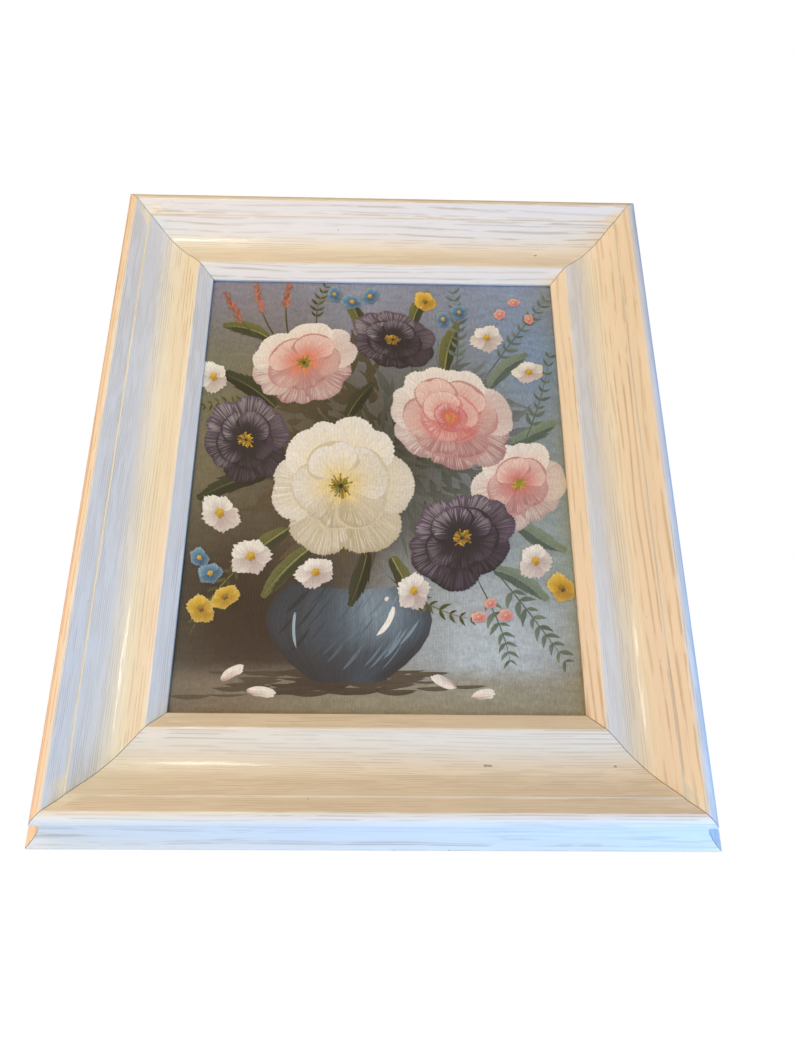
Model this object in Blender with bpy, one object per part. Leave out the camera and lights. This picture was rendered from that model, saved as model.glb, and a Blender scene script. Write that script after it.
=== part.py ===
"""Framed painting: a canvas panel in a mitred, white-washed wooden moulding, with a hanger on its back.

Metres, +Z up. The picture faces -Y and the flat back of the frame lies in the plane y = 0.
The origin is the point under the hanger's middle tooth where a wall nail carries the frame.
"""

import math

import bmesh
import bpy
from mathutils import Euler, Matrix, Vector

# Gap kept between two pieces that touch
TOUCH_GAP = 0.0003

# Picture panel
PANEL_WIDTH = 0.2032
PANEL_HEIGHT = 0.2559
PANEL_THICKNESS = 0.004
PANEL_EDGE_RADIUS = 0.0008
PANEL_CLEARANCE = 0.001

# Moulding, across: from the rim's outer edge towards the picture
FOOT_REACH = 0.0093
FOOT_TOP_WIDTH = 0.0032
NECK_REACH = 0.0007
RIM_REACH = 0.0013
RIM_CREST_INSET = 0.004
BEAD_INSET = 0.0107
BEAD_WIDTH = 0.0012
SCOOP_BOTTOM_INSET = 0.027
INNER_CREST_INSET = 0.0408
MOULDING_WIDTH = 0.0483
REBATE_WIDTH = 0.0071

# Moulding, heights above the back
FOOT_EDGE_HEIGHT = 0.0025
FOOT_TOP_HEIGHT = 0.0045
NECK_HEIGHT = 0.0168
RIM_UNDERSIDE_HEIGHT = 0.0238
RIM_HEIGHT = 0.0278
BEAD_HEIGHT = 0.0226
SCOOP_BOTTOM_HEIGHT = 0.0139
INNER_CREST_HEIGHT = 0.0181
SIGHT_EDGE_HEIGHT = 0.0124
REBATE_DEPTH = 0.0108

# Moulding, curves
RIM_RADIUS = 0.0055
RIM_NOSE_END = math.radians(163)
RIM_CREST_RADIUS = 0.0012
RIM_BACK_SLOPE = math.radians(41.5)
BEAD_QUIRK_DEPTH = 0.0003
SCOOP_OUTER_SLOPE = math.radians(40)
SCOOP_OUTER_RADIUS = 0.014
SCOOP_INNER_SLOPE = math.radians(24.2)
SCOOP_INNER_RADIUS = 0.015
INNER_CREST_OUTER_RADIUS = 0.006
INNER_CREST_INNER_RADIUS = 0.0009
LIP_SLOPE = math.radians(38.5)
SIGHT_EDGE_RADIUS = 0.0006
FOOT_EDGE_RADIUS = 0.0006
ARC_STEP = math.radians(5)

# Steel points that hold the panel from behind
POINT_LENGTH = 0.015
POINT_WIDTH = 0.006
POINT_THICKNESS = 0.0006
POINT_DRIVEN_DEPTH = 0.006
POINT_SPACING_SHARE = 0.5

# Sawtooth hanger
HANGER_DROP = 0.026
HANGER_LENGTH = 0.044
HANGER_HEIGHT = 0.009
HANGER_THICKNESS = 0.0008
HANGER_STANDOFF = 0.0018
HANGER_TAB_LENGTH = 0.0075
HANGER_RAMP_LENGTH = 0.0025
TOOTH_COUNT = 7
TOOTH_PITCH = 0.0028
TOOTH_DEPTH = 0.0018

# Nails of the hanger
NAIL_SHANK_RADIUS = 0.0007
NAIL_SHANK_LENGTH = 0.009
NAIL_HEAD_RADIUS = 0.0021
NAIL_HEAD_HEIGHT = 0.0008
NAIL_CLEARANCE = 0.0003
NAIL_SIDES = 24

# Sizes that follow
REBATE_OPENING_WIDTH = PANEL_WIDTH + 2 * PANEL_CLEARANCE
REBATE_OPENING_HEIGHT = PANEL_HEIGHT + 2 * PANEL_CLEARANCE
SIGHT_WIDTH = REBATE_OPENING_WIDTH - 2 * REBATE_WIDTH
SIGHT_HEIGHT = REBATE_OPENING_HEIGHT - 2 * REBATE_WIDTH
RIM_LENGTH_ACROSS = SIGHT_WIDTH + 2 * MOULDING_WIDTH
RIM_LENGTH_UP = SIGHT_HEIGHT + 2 * MOULDING_WIDTH
REBATE_INSET = MOULDING_WIDTH - REBATE_WIDTH
CENTRE_HEIGHT = HANGER_DROP - FOOT_REACH - RIM_LENGTH_UP / 2
PANEL_BACK = -(REBATE_DEPTH - TOUCH_GAP - PANEL_THICKNESS)


def clear_scene():
    for obj in list(bpy.data.objects):
        bpy.data.objects.remove(obj, do_unlink=True)


def make_material(name, colour, roughness, metallic=0.0):
    material = bpy.data.materials.new(name)
    material.use_nodes = True
    shader = material.node_tree.nodes["Principled BSDF"]
    shader.inputs["Base Color"].default_value = (*colour, 1.0)
    shader.inputs["Roughness"].default_value = roughness
    shader.inputs["Metallic"].default_value = metallic
    material.diffuse_color = (*colour, 1.0)
    return material


def add_object(name, bm, material, smooth=False):
    """A new object from a bmesh whose faces all point out."""
    bmesh.ops.recalc_face_normals(bm, faces=bm.faces)
    mesh = bpy.data.meshes.new(name)
    bm.to_mesh(mesh)
    bm.free()
    obj = bpy.data.objects.new(name, mesh)
    bpy.context.scene.collection.objects.link(obj)
    if material is not None:
        mesh.materials.append(material)
    if smooth:
        mesh.shade_smooth()
        mesh.set_sharp_from_angle(angle=math.radians(30))
    return obj


def arc(centre, radius, start, end):
    """Points on an arc in the section, both ends included. Angles run from inward (+u) to outward over the top."""
    steps = max(1, math.ceil(abs(end - start) / ARC_STEP - 1e-6))
    angles = (start + (end - start) * step / steps for step in range(steps + 1))
    return [(centre[0] + radius * math.cos(a), centre[1] + radius * math.sin(a)) for a in angles]


def foot_points():
    """The foot at the wall and the hollow that runs up from it to the neck under the rim."""
    edge = (-FOOT_REACH, FOOT_EDGE_HEIGHT)
    top = (-FOOT_REACH + FOOT_TOP_WIDTH, FOOT_TOP_HEIGHT)
    slope = math.atan2(top[1] - edge[1], top[0] - edge[0])
    setback = FOOT_EDGE_RADIUS * math.tan((math.pi / 2 - slope) / 2)
    rounding = (edge[0] + FOOT_EDGE_RADIUS, edge[1] - setback)
    points = [(-FOOT_REACH, 0.0)]
    points += arc(rounding, FOOT_EDGE_RADIUS, math.pi, math.pi / 2 + slope)

    # The hollow is one arc from the foot's top to the neck, upright where it meets the neck
    neck = (-NECK_REACH, NECK_HEIGHT)
    across = neck[0] - top[0]
    rise = neck[1] - top[1]
    radius = (across**2 + rise**2) / (2 * across)
    sweep = math.asin(rise / radius)
    points += arc((neck[0] - radius, neck[1]), radius, -sweep, 0.0)
    return points


def rim_points():
    """The rim, from its underside round the nose and over the tight crest to the small bead behind it."""
    up = math.pi / 2
    nose_centre = (RIM_CREST_INSET, RIM_HEIGHT - RIM_RADIUS)
    crest_centre = (RIM_CREST_INSET, RIM_HEIGHT - RIM_CREST_RADIUS)
    bead_end = (BEAD_INSET + BEAD_WIDTH, BEAD_HEIGHT - BEAD_QUIRK_DEPTH)
    return [
        (-NECK_REACH, RIM_UNDERSIDE_HEIGHT),
        (-RIM_REACH, RIM_UNDERSIDE_HEIGHT),
        *arc(nose_centre, RIM_RADIUS, RIM_NOSE_END, up),
        *arc(crest_centre, RIM_CREST_RADIUS, up, up - RIM_BACK_SLOPE)[1:],
        (BEAD_INSET, BEAD_HEIGHT - BEAD_QUIRK_DEPTH),
        (BEAD_INSET + BEAD_WIDTH * 0.3, BEAD_HEIGHT),
        (BEAD_INSET + BEAD_WIDTH * 0.75, BEAD_HEIGHT),
        bead_end,
    ]


def scoop_points():
    """The wide scoop: a steep outer side, a round bottom and a shallow rise to the inner crest."""
    outer_centre = (SCOOP_BOTTOM_INSET, SCOOP_BOTTOM_HEIGHT + SCOOP_OUTER_RADIUS)
    inner_centre = (SCOOP_BOTTOM_INSET, SCOOP_BOTTOM_HEIGHT + SCOOP_INNER_RADIUS)
    crest_centre = (INNER_CREST_INSET, INNER_CREST_HEIGHT - INNER_CREST_OUTER_RADIUS)
    down = -math.pi / 2
    up = math.pi / 2
    points = arc(outer_centre, SCOOP_OUTER_RADIUS, down - SCOOP_OUTER_SLOPE, down)
    points += arc(inner_centre, SCOOP_INNER_RADIUS, down, down + SCOOP_INNER_SLOPE)[1:]
    points += arc(crest_centre, INNER_CREST_OUTER_RADIUS, up + SCOOP_INNER_SLOPE, up)
    return points


def lip_points():
    """The lip that slopes from the inner crest to the sight edge, and the rebate behind it."""
    crest_centre = (INNER_CREST_INSET, INNER_CREST_HEIGHT - INNER_CREST_INNER_RADIUS)
    up = math.pi / 2
    points = arc(crest_centre, INNER_CREST_INNER_RADIUS, up, up - LIP_SLOPE)[1:]
    setback = SIGHT_EDGE_RADIUS * math.tan((math.pi / 2 - LIP_SLOPE) / 2)
    edge_centre = (MOULDING_WIDTH - SIGHT_EDGE_RADIUS, SIGHT_EDGE_HEIGHT - setback)
    points += arc(edge_centre, SIGHT_EDGE_RADIUS, up - LIP_SLOPE, 0.0)
    points += [
        (MOULDING_WIDTH, REBATE_DEPTH),
        (REBATE_INSET, REBATE_DEPTH),
        (REBATE_INSET, 0.0),
    ]
    return points


def section():
    """The moulding's section as (inset from the rim's outer edge, height above the back)."""
    return foot_points() + rim_points() + scoop_points() + lip_points()


def add_rail(name, rim_length, turn, place, material):
    """A mitred length of moulding. Its own X runs along it, and its own Z points to the picture."""
    end_setback = TOUCH_GAP / 2 * math.sqrt(2)
    bm = bmesh.new()
    mitre = []
    for inset, height in section():
        end = rim_length / 2 - inset - end_setback
        mitre.append(bm.verts.new((-end, -height, inset)))
    face = bm.faces.new(mitre)
    run = bmesh.ops.extrude_face_region(bm, geom=[face])
    for vert in run["geom"]:
        if isinstance(vert, bmesh.types.BMVert):
            vert.co.x = -vert.co.x
    rail = add_object(name, bm, material, smooth=True)
    rail.rotation_euler = Euler((0.0, turn, 0.0))
    rail.location = place
    return rail


def add_box(name, low, high, material):
    bm = bmesh.new()
    bmesh.ops.create_cube(bm, size=1.0)
    size = Vector(high) - Vector(low)
    bmesh.ops.scale(bm, vec=size, verts=bm.verts)
    bmesh.ops.translate(bm, vec=(Vector(high) + Vector(low)) / 2, verts=bm.verts)
    return add_object(name, bm, material)


def as_cutter(obj):
    obj.hide_render = True
    obj.display_type = "WIRE"
    return obj


def cut(obj, cutter):
    modifier = obj.modifiers.new("cut_" + cutter.name, "BOOLEAN")
    modifier.operation = "DIFFERENCE"
    modifier.object = cutter


def add_rails(material):
    half_across = RIM_LENGTH_ACROSS / 2
    half_up = RIM_LENGTH_UP / 2
    sides = {
        "bottom": (RIM_LENGTH_ACROSS, 0.0, (0.0, 0.0, CENTRE_HEIGHT - half_up)),
        "top": (RIM_LENGTH_ACROSS, math.pi, (0.0, 0.0, CENTRE_HEIGHT + half_up)),
        "left": (RIM_LENGTH_UP, math.pi / 2, (-half_across, 0.0, CENTRE_HEIGHT)),
        "right": (RIM_LENGTH_UP, -math.pi / 2, (half_across, 0.0, CENTRE_HEIGHT)),
    }
    return {
        side: add_rail("frame_rail_" + side, length, turn, place, material)
        for side, (length, turn, place) in sides.items()
    }


def add_panel(material):
    """The canvas panel, standing on the bottom rail's rebate."""
    half_width = PANEL_WIDTH / 2
    half_height = PANEL_HEIGHT / 2
    panel = add_box(
        "canvas_panel",
        (-half_width, PANEL_BACK - PANEL_THICKNESS, -half_height),
        (half_width, PANEL_BACK, half_height),
        material,
    )
    panel.location.z = CENTRE_HEIGHT - (PANEL_CLEARANCE - TOUCH_GAP)
    bevel = panel.modifiers.new("rounded_edges", "BEVEL")
    bevel.width = PANEL_EDGE_RADIUS
    bevel.segments = 2
    return panel


def add_point(name, rail, along, material):
    """A flat steel point driven through the rebate's side wall into a rail, and the slit it sits in."""
    wall = REBATE_INSET
    near = PANEL_BACK + TOUCH_GAP
    low = Vector((along - POINT_WIDTH / 2, near, wall - POINT_DRIVEN_DEPTH))
    high = Vector((along + POINT_WIDTH / 2, near + POINT_THICKNESS, wall - POINT_DRIVEN_DEPTH + POINT_LENGTH))
    room = Vector((TOUCH_GAP, TOUCH_GAP, TOUCH_GAP))
    point = add_box(name, low, high, material)
    slit = as_cutter(add_box(name + "_slit", low - room, high + room, None))
    for obj in (point, slit):
        obj.rotation_euler = rail.rotation_euler
        obj.location = rail.location
    cut(rail, slit)


def add_points(rails, material):
    number = 1
    for side, opening in (
        ("bottom", REBATE_OPENING_WIDTH),
        ("right", REBATE_OPENING_HEIGHT),
        ("top", REBATE_OPENING_WIDTH),
        ("left", REBATE_OPENING_HEIGHT),
    ):
        for direction in (-1, 1):
            along = direction * opening * POINT_SPACING_SHARE / 2
            add_point(f"retaining_point_{number}", rails[side], along, material)
            number += 1


def hanger_outline():
    """The hanger's strip seen from below: two tabs on the wood and a raised middle, as (x, y)."""
    half = HANGER_LENGTH / 2
    tab_end = half - HANGER_TAB_LENGTH
    ramp_end = tab_end - HANGER_RAMP_LENGTH
    inner = [
        (-half, TOUCH_GAP),
        (-tab_end, TOUCH_GAP),
        (-ramp_end, TOUCH_GAP + HANGER_STANDOFF),
        (ramp_end, TOUCH_GAP + HANGER_STANDOFF),
        (tab_end, TOUCH_GAP),
        (half, TOUCH_GAP),
    ]
    outer = [(x, y + HANGER_THICKNESS) for x, y in reversed(inner)]
    return inner + outer


def add_tooth_cutter():
    """A row of wedges for the notches along the hanger's lower edge. The middle one ends at the origin."""
    bm = bmesh.new()
    front = 0.0
    back = TOUCH_GAP + HANGER_STANDOFF + 2 * HANGER_THICKNESS
    for tooth in range(TOOTH_COUNT):
        x = (tooth - (TOOTH_COUNT - 1) / 2) * TOOTH_PITCH
        half = TOOTH_PITCH * 0.45
        base = -TOOTH_DEPTH * 1.2
        corners = [(x - half * 1.2, base), (x + half * 1.2, base), (x, 0.0)]
        face = bm.faces.new([bm.verts.new((cx, front, cz)) for cx, cz in corners])
        run = bmesh.ops.extrude_face_region(bm, geom=[face])
        moved = [item for item in run["geom"] if isinstance(item, bmesh.types.BMVert)]
        bmesh.ops.translate(bm, vec=(0.0, back - front, 0.0), verts=moved)
    return as_cutter(add_object("hanger_tooth_cutter", bm, None))


def add_cylinder(name, radius, low, high, place, material):
    """A round bar along Y between two depths."""
    bm = bmesh.new()
    bmesh.ops.create_cone(
        bm,
        cap_ends=True,
        segments=NAIL_SIDES,
        radius1=radius,
        radius2=radius,
        depth=high - low,
        matrix=Matrix.Translation((0.0, (high + low) / 2, 0.0)) @ Matrix.Rotation(math.pi / 2, 4, "X"),
    )
    obj = add_object(name, bm, material, smooth=True)
    obj.location = place
    return obj


def add_nail(name, x, hanger, rail, material):
    """A round-headed nail through the hanger's tab into the rail, and the hole it fills."""
    place = (x, 0.0, hanger_middle_height())
    head_back = 2 * TOUCH_GAP + HANGER_THICKNESS
    profile = [
        (0.0, head_back + NAIL_HEAD_HEIGHT),
        (NAIL_HEAD_RADIUS * 0.55, head_back + NAIL_HEAD_HEIGHT * 0.85),
        (NAIL_HEAD_RADIUS, head_back + NAIL_HEAD_HEIGHT * 0.25),
        (NAIL_HEAD_RADIUS, head_back),
        (NAIL_SHANK_RADIUS, head_back),
        (NAIL_SHANK_RADIUS, head_back - NAIL_SHANK_LENGTH * 0.85),
        (0.0, head_back - NAIL_SHANK_LENGTH),
    ]
    bm = bmesh.new()
    verts = [bm.verts.new((radius, depth, 0.0)) for radius, depth in profile]
    edges = [bm.edges.new(pair) for pair in zip(verts, verts[1:])]
    bmesh.ops.spin(
        bm,
        geom=verts + edges,
        cent=(0.0, 0.0, 0.0),
        axis=(0.0, 1.0, 0.0),
        angle=2 * math.pi,
        steps=NAIL_SIDES,
        use_merge=True,
    )
    bmesh.ops.remove_doubles(bm, verts=bm.verts, dist=1e-6)
    nail = add_object(name, bm, material, smooth=True)
    nail.location = place
    hole = as_cutter(
        add_cylinder(
            name + "_hole",
            NAIL_SHANK_RADIUS + NAIL_CLEARANCE,
            head_back - NAIL_SHANK_LENGTH - NAIL_CLEARANCE,
            head_back + NAIL_HEAD_HEIGHT,
            place,
            None,
        )
    )
    cut(hanger, hole)
    cut(rail, hole)


def hanger_middle_height():
    return HANGER_HEIGHT / 2 - TOOTH_DEPTH


def add_hanger(rail, material):
    """The sawtooth hanger across the back of the top rail, with its two nails."""
    bm = bmesh.new()
    low = hanger_middle_height() - HANGER_HEIGHT / 2
    face = bm.faces.new([bm.verts.new((x, y, low)) for x, y in hanger_outline()])
    run = bmesh.ops.extrude_face_region(bm, geom=[face])
    moved = [item for item in run["geom"] if isinstance(item, bmesh.types.BMVert)]
    bmesh.ops.translate(bm, vec=(0.0, 0.0, HANGER_HEIGHT), verts=moved)
    hanger = add_object("hanger_plate", bm, material)
    cut(hanger, add_tooth_cutter())
    nail_x = (HANGER_LENGTH - HANGER_TAB_LENGTH) / 2
    add_nail("hanger_nail_left", -nail_x, hanger, rail, material)
    add_nail("hanger_nail_right", nail_x, hanger, rail, material)


def main():
    clear_scene()
    wood = make_material("white_washed_wood", (0.80, 0.76, 0.70), 0.42)
    canvas = make_material("painted_canvas", (0.30, 0.31, 0.32), 0.45)
    steel = make_material("plated_steel", (0.62, 0.58, 0.50), 0.35, 1.0)
    rails = add_rails(wood)
    add_panel(canvas)
    add_points(rails, steel)
    add_hanger(rails["top"], steel)


main()
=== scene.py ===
"""Looks of a small framed flower painting: washed wooden moulding, painted canvas and plated hardware.

Every size is in metres. The picture faces -Y and the frame hangs upright, as the construction model has it.
"""

import math
import random

import bmesh
import bpy
from bpy.props import FloatProperty, FloatVectorProperty, PointerProperty
from mathutils import Euler, Matrix, Vector, noise


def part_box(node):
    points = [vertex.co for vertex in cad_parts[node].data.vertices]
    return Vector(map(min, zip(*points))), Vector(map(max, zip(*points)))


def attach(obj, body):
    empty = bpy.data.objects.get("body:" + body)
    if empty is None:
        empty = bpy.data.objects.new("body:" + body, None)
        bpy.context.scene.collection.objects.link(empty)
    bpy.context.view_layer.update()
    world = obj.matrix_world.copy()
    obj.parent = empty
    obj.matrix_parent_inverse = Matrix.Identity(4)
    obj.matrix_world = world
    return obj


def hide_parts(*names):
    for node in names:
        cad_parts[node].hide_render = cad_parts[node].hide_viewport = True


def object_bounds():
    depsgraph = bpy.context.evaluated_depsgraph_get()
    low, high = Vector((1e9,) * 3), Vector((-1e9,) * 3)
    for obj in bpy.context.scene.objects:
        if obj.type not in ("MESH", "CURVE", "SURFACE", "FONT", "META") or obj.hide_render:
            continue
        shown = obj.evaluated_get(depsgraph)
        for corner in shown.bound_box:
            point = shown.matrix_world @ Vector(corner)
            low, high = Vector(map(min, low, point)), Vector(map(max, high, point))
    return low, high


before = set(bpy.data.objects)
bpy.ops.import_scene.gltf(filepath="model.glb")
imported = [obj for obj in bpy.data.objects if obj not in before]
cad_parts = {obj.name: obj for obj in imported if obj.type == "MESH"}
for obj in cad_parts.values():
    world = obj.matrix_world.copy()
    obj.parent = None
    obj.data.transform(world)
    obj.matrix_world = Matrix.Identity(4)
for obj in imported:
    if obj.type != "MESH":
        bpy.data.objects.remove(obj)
CAD_LOW, CAD_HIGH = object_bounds()

bl_info = {
    "name": "Framed flower painting",
    "version": (1, 0, 0),
    "blender": (4, 5, 0),
    "location": "3D View > Sidebar > Framed painting",
    "description": "Dresses the framed painting: washed wood, canvas, paint and plated hardware",
    "category": "Add Mesh",
}

# Places read from the construction model
PANEL_LOW, PANEL_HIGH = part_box("canvas_panel")
TOP_LOW, TOP_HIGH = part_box("frame_rail_top")
BOTTOM_LOW, BOTTOM_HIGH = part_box("frame_rail_bottom")
LEFT_LOW, LEFT_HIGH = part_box("frame_rail_left")
RIGHT_LOW, RIGHT_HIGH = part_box("frame_rail_right")
SIGHT_LOW = Vector((LEFT_HIGH.x, PANEL_LOW.y, BOTTOM_HIGH.z))
SIGHT_HIGH = Vector((RIGHT_LOW.x, PANEL_LOW.y, TOP_LOW.z))
CENTRE = (SIGHT_LOW + SIGHT_HIGH) / 2

# The rebate behind the lip of a rail, and where the hand-sanded waves fade out before a mitre
REBATE_WIDTH = 0.0071
REBATE_DEPTH = 0.0108
REBATE_CLEARANCE = 0.0005
MITRE_MARGIN = 0.001
MITRE_FADE = 0.012

# The canvas: the pitch of its threads, and how far it is folded over the back of the board
THREAD = 0.00074
TURNOVER = 0.016

# The grid that a stroke of paint is bent from, and how much higher each stroke lies than the last
STROKE_LENGTHS = 7
STROKE_WIDTHS = 4
STROKE_STEP = 0.0000001

# How high the layers of paint lie over the canvas
BOWL_HEIGHT = 0.00002
FOLIAGE_HEIGHT = 0.00006
FAR_BLOOMS = 0.00018
MIDDLE_BLOOMS = 0.00023
NEAR_BLOOMS = 0.00030
SMALL_BLOOMS = 0.00036

# The painting's own layout, in millimetres from the middle of the opening
PAINT_REACH = (98.5, 124.8)
TABLE_LINE = -98.0
BOWL_MIDDLE, BOWL_FOOT, BOWL_RIM = -14.0, -104.0, -58.0
BOWL_RIM_REACH, BOWL_BELLY_REACH, BOWL_FOOT_REACH = 28.0, 54.0, 17.0
LEAF_MASS_MIDDLE, LEAF_MASS_REACH = (2, 16), (70, 62)

# How many strokes each part of the painting takes
SHADOW_STROKES = 90
BOWL_STROKES = 64
GLAZE_STROKES = 40
LEAF_MASS_STROKES = 420
PLUME_STROKES = 34
SHADE_STROKES = 19
HEART_DABS = 14
LIGHT_ANGLE = math.radians(118)
GOLDEN_TURN = 2.4
FULL_TURN = 6.3


def linear(red, green, blue):
    """A paint colour given as 0-255 screen values."""
    return tuple(((value / 255 + 0.055) / 1.055) ** 2.4 for value in (red, green, blue))


def mixed(first, second, share):
    """The colour at a share of the way from the first to the second."""
    return tuple(a + (b - a) * share for a, b in zip(first, second))


def stops_colour(stops, share):
    """The colour at a share of the way along evenly spaced stops."""
    place = max(0.0, min(0.9999, share)) * (len(stops) - 1)
    low = int(place)
    return mixed(stops[low], stops[low + 1], place - low)


def share_of(value):
    """The value held between none and all."""
    return min(1.0, max(0.0, value))


def along_curve(start, bend, end, share):
    """The place at a share of the way along a curve that is pulled towards bend."""
    return start * (1.0 - share) ** 2 + bend * 2.0 * share * (1.0 - share) + end * share ** 2


def slope_of_curve(start, bend, end, share):
    return (bend - start) * (1.0 - share) + (end - bend) * share


def turned(angle, radius=1.0):
    return Vector((math.cos(angle), math.sin(angle))) * radius


PAINTS = {
    name: linear(*values)
    for name, values in {
        "white": (246, 247, 246),
        "cream": (246, 238, 214),
        "cream_shade": (196, 186, 158),
        "butter": (240, 218, 140),
        "pale_pink": (243, 214, 208),
        "pink": (232, 172, 168),
        "rose": (212, 118, 122),
        "coral": (232, 130, 88),
        "pink_shade": (176, 132, 138),
        "petal_shade": (186, 164, 164),
        "plum": (58, 49, 68),
        "plum_dark": (34, 29, 40),
        "plum_light": (100, 86, 112),
        "night": (46, 42, 58),
        "yellow": (226, 186, 58),
        "ochre": (172, 134, 48),
        "lime": (150, 152, 52),
        "leaf_black": (36, 40, 26),
        "deep_green": (56, 62, 44),
        "olive": (112, 116, 66),
        "sage": (130, 152, 134),
        "sage_dark": (84, 104, 96),
        "olive_light": (158, 160, 96),
        "sky": (98, 150, 188),
        "sky_dark": (52, 84, 122),
        "umber": (62, 50, 42),
        "veil_left": (98, 86, 66),
        "veil_right": (122, 134, 140),
        "plume_dark": (140, 78, 70),
        "plume_light": (198, 132, 112),
        "bowl_dark": (44, 46, 54),
        "bowl_blue": (88, 112, 136),
        "bowl_light": (166, 190, 208),
        "table_shade": (96, 88, 76),
    }.items()
}

LEAF_COLOURS = {
    "green": (PAINTS["deep_green"], PAINTS["olive"], PAINTS["olive_light"]),
    "sage": (PAINTS["sage_dark"], PAINTS["sage"], PAINTS["veil_right"]),
    "dark": (PAINTS["leaf_black"], PAINTS["deep_green"], PAINTS["olive"]),
}

# Leaves: base, tip, width and colours
LEAVES = (
    ((-56, 40), (-88, 62), 10, "dark"),
    ((-58, 0), (-92, -14), 10, "dark"),
    ((-46, -30), (-72, -52), 10, "green"),
    ((-34, -40), (-56, -66), 9, "green"),
    ((-6, -42), (-14, -70), 8, "dark"),
    ((6, -44), (22, -72), 9, "green"),
    ((56, -50), (82, -66), 9, "sage"),
    ((66, -22), (93, -40), 9, "sage"),
    ((68, 20), (93, 34), 9, "sage"),
    ((58, 54), (80, 76), 9, "sage"),
    ((34, 64), (42, 96), 9, "green"),
    ((-8, 84), (-20, 112), 8, "green"),
    ((16, 92), (26, 117), 8, "green"),
    ((-62, 84), (-88, 92), 9, "green"),
    ((-18, 34), (-4, 56), 9, "dark"),
)

# Sprigs: base, bend, tip, pairs of leaves, length of a leaf and colours
SPRIGS = (
    ((40, 60), (44, 88), (40, 116), 9, 8, "sage"),
    ((56, 60), (74, 88), (92, 112), 10, 8, "sage"),
    ((74, 18), (86, 44), (92, 74), 9, 7, "sage"),
    ((56, -50), (74, -74), (88, -96), 9, 9, "sage"),
    ((48, -56), (60, -80), (62, -96), 7, 8, "sage"),
    ((-36, 92), (-38, 106), (-32, 119), 6, 6, "green"),
    ((-66, 40), (-82, 46), (-93, 40), 6, 6, "green"),
    ((-56, -40), (-78, -56), (-88, -82), 8, 7, "green"),
    ((6, -56), (24, -72), (44, -76), 7, 7, "green"),
)

# Plumes: base, bend and tip
PLUMES = (
    ((-58, 84), (-68, 98), (-71, 119)),
    ((-62, 80), (-80, 92), (-87, 112)),
    ((-52, 88), (-55, 104), (-53, 121)),
)

# Rings of petals: how many, where they start and end as shares of the radius, colours and turn
PLUM_RINGS = (
    (6, 0.08, 1.0, ("plum_dark", "plum", "plum_light", "plum_dark"), 0.4),
    (5, 0.08, 0.66, ("plum_dark", "night", "plum_light", "plum_dark"), 1.0),
)
# A bloom's heart: its share of the radius, the dark middle and the stamens
PLUM_HEART = (0.17, "leaf_black", ("yellow", "ochre"))

BLOOMS = {
    "far_plum_bloom": {
        "centre": (6, 84), "radius": 24, "lean": 1.2, "slant": 0.8, "height": FAR_BLOOMS,
        "rings": PLUM_RINGS, "heart": PLUM_HEART,
    },
    "left_plum_bloom": {
        "centre": (-70, 20), "radius": 27, "lean": 0.3, "slant": 0.82, "height": FAR_BLOOMS,
        "rings": PLUM_RINGS, "heart": PLUM_HEART,
    },
    "pale_bloom": {
        "centre": (71, -4), "radius": 27, "lean": 2.6, "slant": 0.84, "height": FAR_BLOOMS,
        "rings": (
            (6, 0.08, 1.0, ("pink", "pale_pink", "white", "petal_shade"), 0.2),
            (5, 0.08, 0.64, ("rose", "pink", "pale_pink", "pink_shade"), 0.8),
        ),
        "heart": (0.15, "lime", ("yellow", "ochre", "lime")),
    },
    "pink_bloom": {
        "centre": (-42, 68), "radius": 31, "lean": 2.2, "slant": 0.84, "height": MIDDLE_BLOOMS,
        "rings": (
            (6, 0.08, 1.0, ("coral", "pale_pink", "white", "pink_shade"), 0.5),
            (5, 0.08, 0.66, ("coral", "pink", "pale_pink", "pink_shade"), 0.0),
        ),
        "heart": (0.15, "deep_green", ("yellow", "lime", "ochre")),
    },
    "coral_bloom": {
        "centre": (37, 35), "radius": 35, "lean": 0.8, "slant": 0.88, "height": MIDDLE_BLOOMS,
        "rings": (
            (7, 0.08, 1.0, ("rose", "pale_pink", "white", "pink_shade"), 0.3),
            (6, 0.08, 0.74, ("coral", "pink", "pale_pink", "pink_shade"), 0.0),
            (4, 0.06, 0.48, ("coral", "pink", "pale_pink", "rose"), 0.7),
            (3, 0.04, 0.27, ("coral", "rose", "pink", "rose"), 0.2),
        ),
        "heart": (0.08, "rose", ("coral", "yellow")),
    },
    "near_plum_bloom": {
        "centre": (41, -34), "radius": 29, "lean": 5.4, "slant": 0.85, "height": NEAR_BLOOMS,
        "rings": PLUM_RINGS, "heart": PLUM_HEART,
    },
    "cream_bloom": {
        "centre": (-20, -6), "radius": 42, "lean": 0.2, "slant": 0.92, "height": NEAR_BLOOMS,
        "rings": (
            (6, 0.08, 1.0, ("butter", "cream", "white", "cream_shade"), 0.1),
            (5, 0.08, 0.62, ("butter", "cream", "white", "cream_shade"), 0.6),
        ),
        "heart": (0.15, "leaf_black", ("yellow", "lime", "ochre", "olive_light")),
    },
}

# Small blossoms: radius, colours of the petals and colours of the heart
BLOSSOM_PETALS = 5
BLOSSOM_KINDS = {
    "white": (11.0, ("petal_shade", "white", "white"), ("ochre", "yellow")),
    "blue": (6.0, ("sky_dark", "sky", "bowl_light"), ("ochre", "yellow")),
    "yellow": (8.5, ("ochre", "yellow", "butter"), ("deep_green", "ochre")),
    "pink": (4.0, ("rose", "pink", "pale_pink"), ("rose", "butter")),
}

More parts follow.
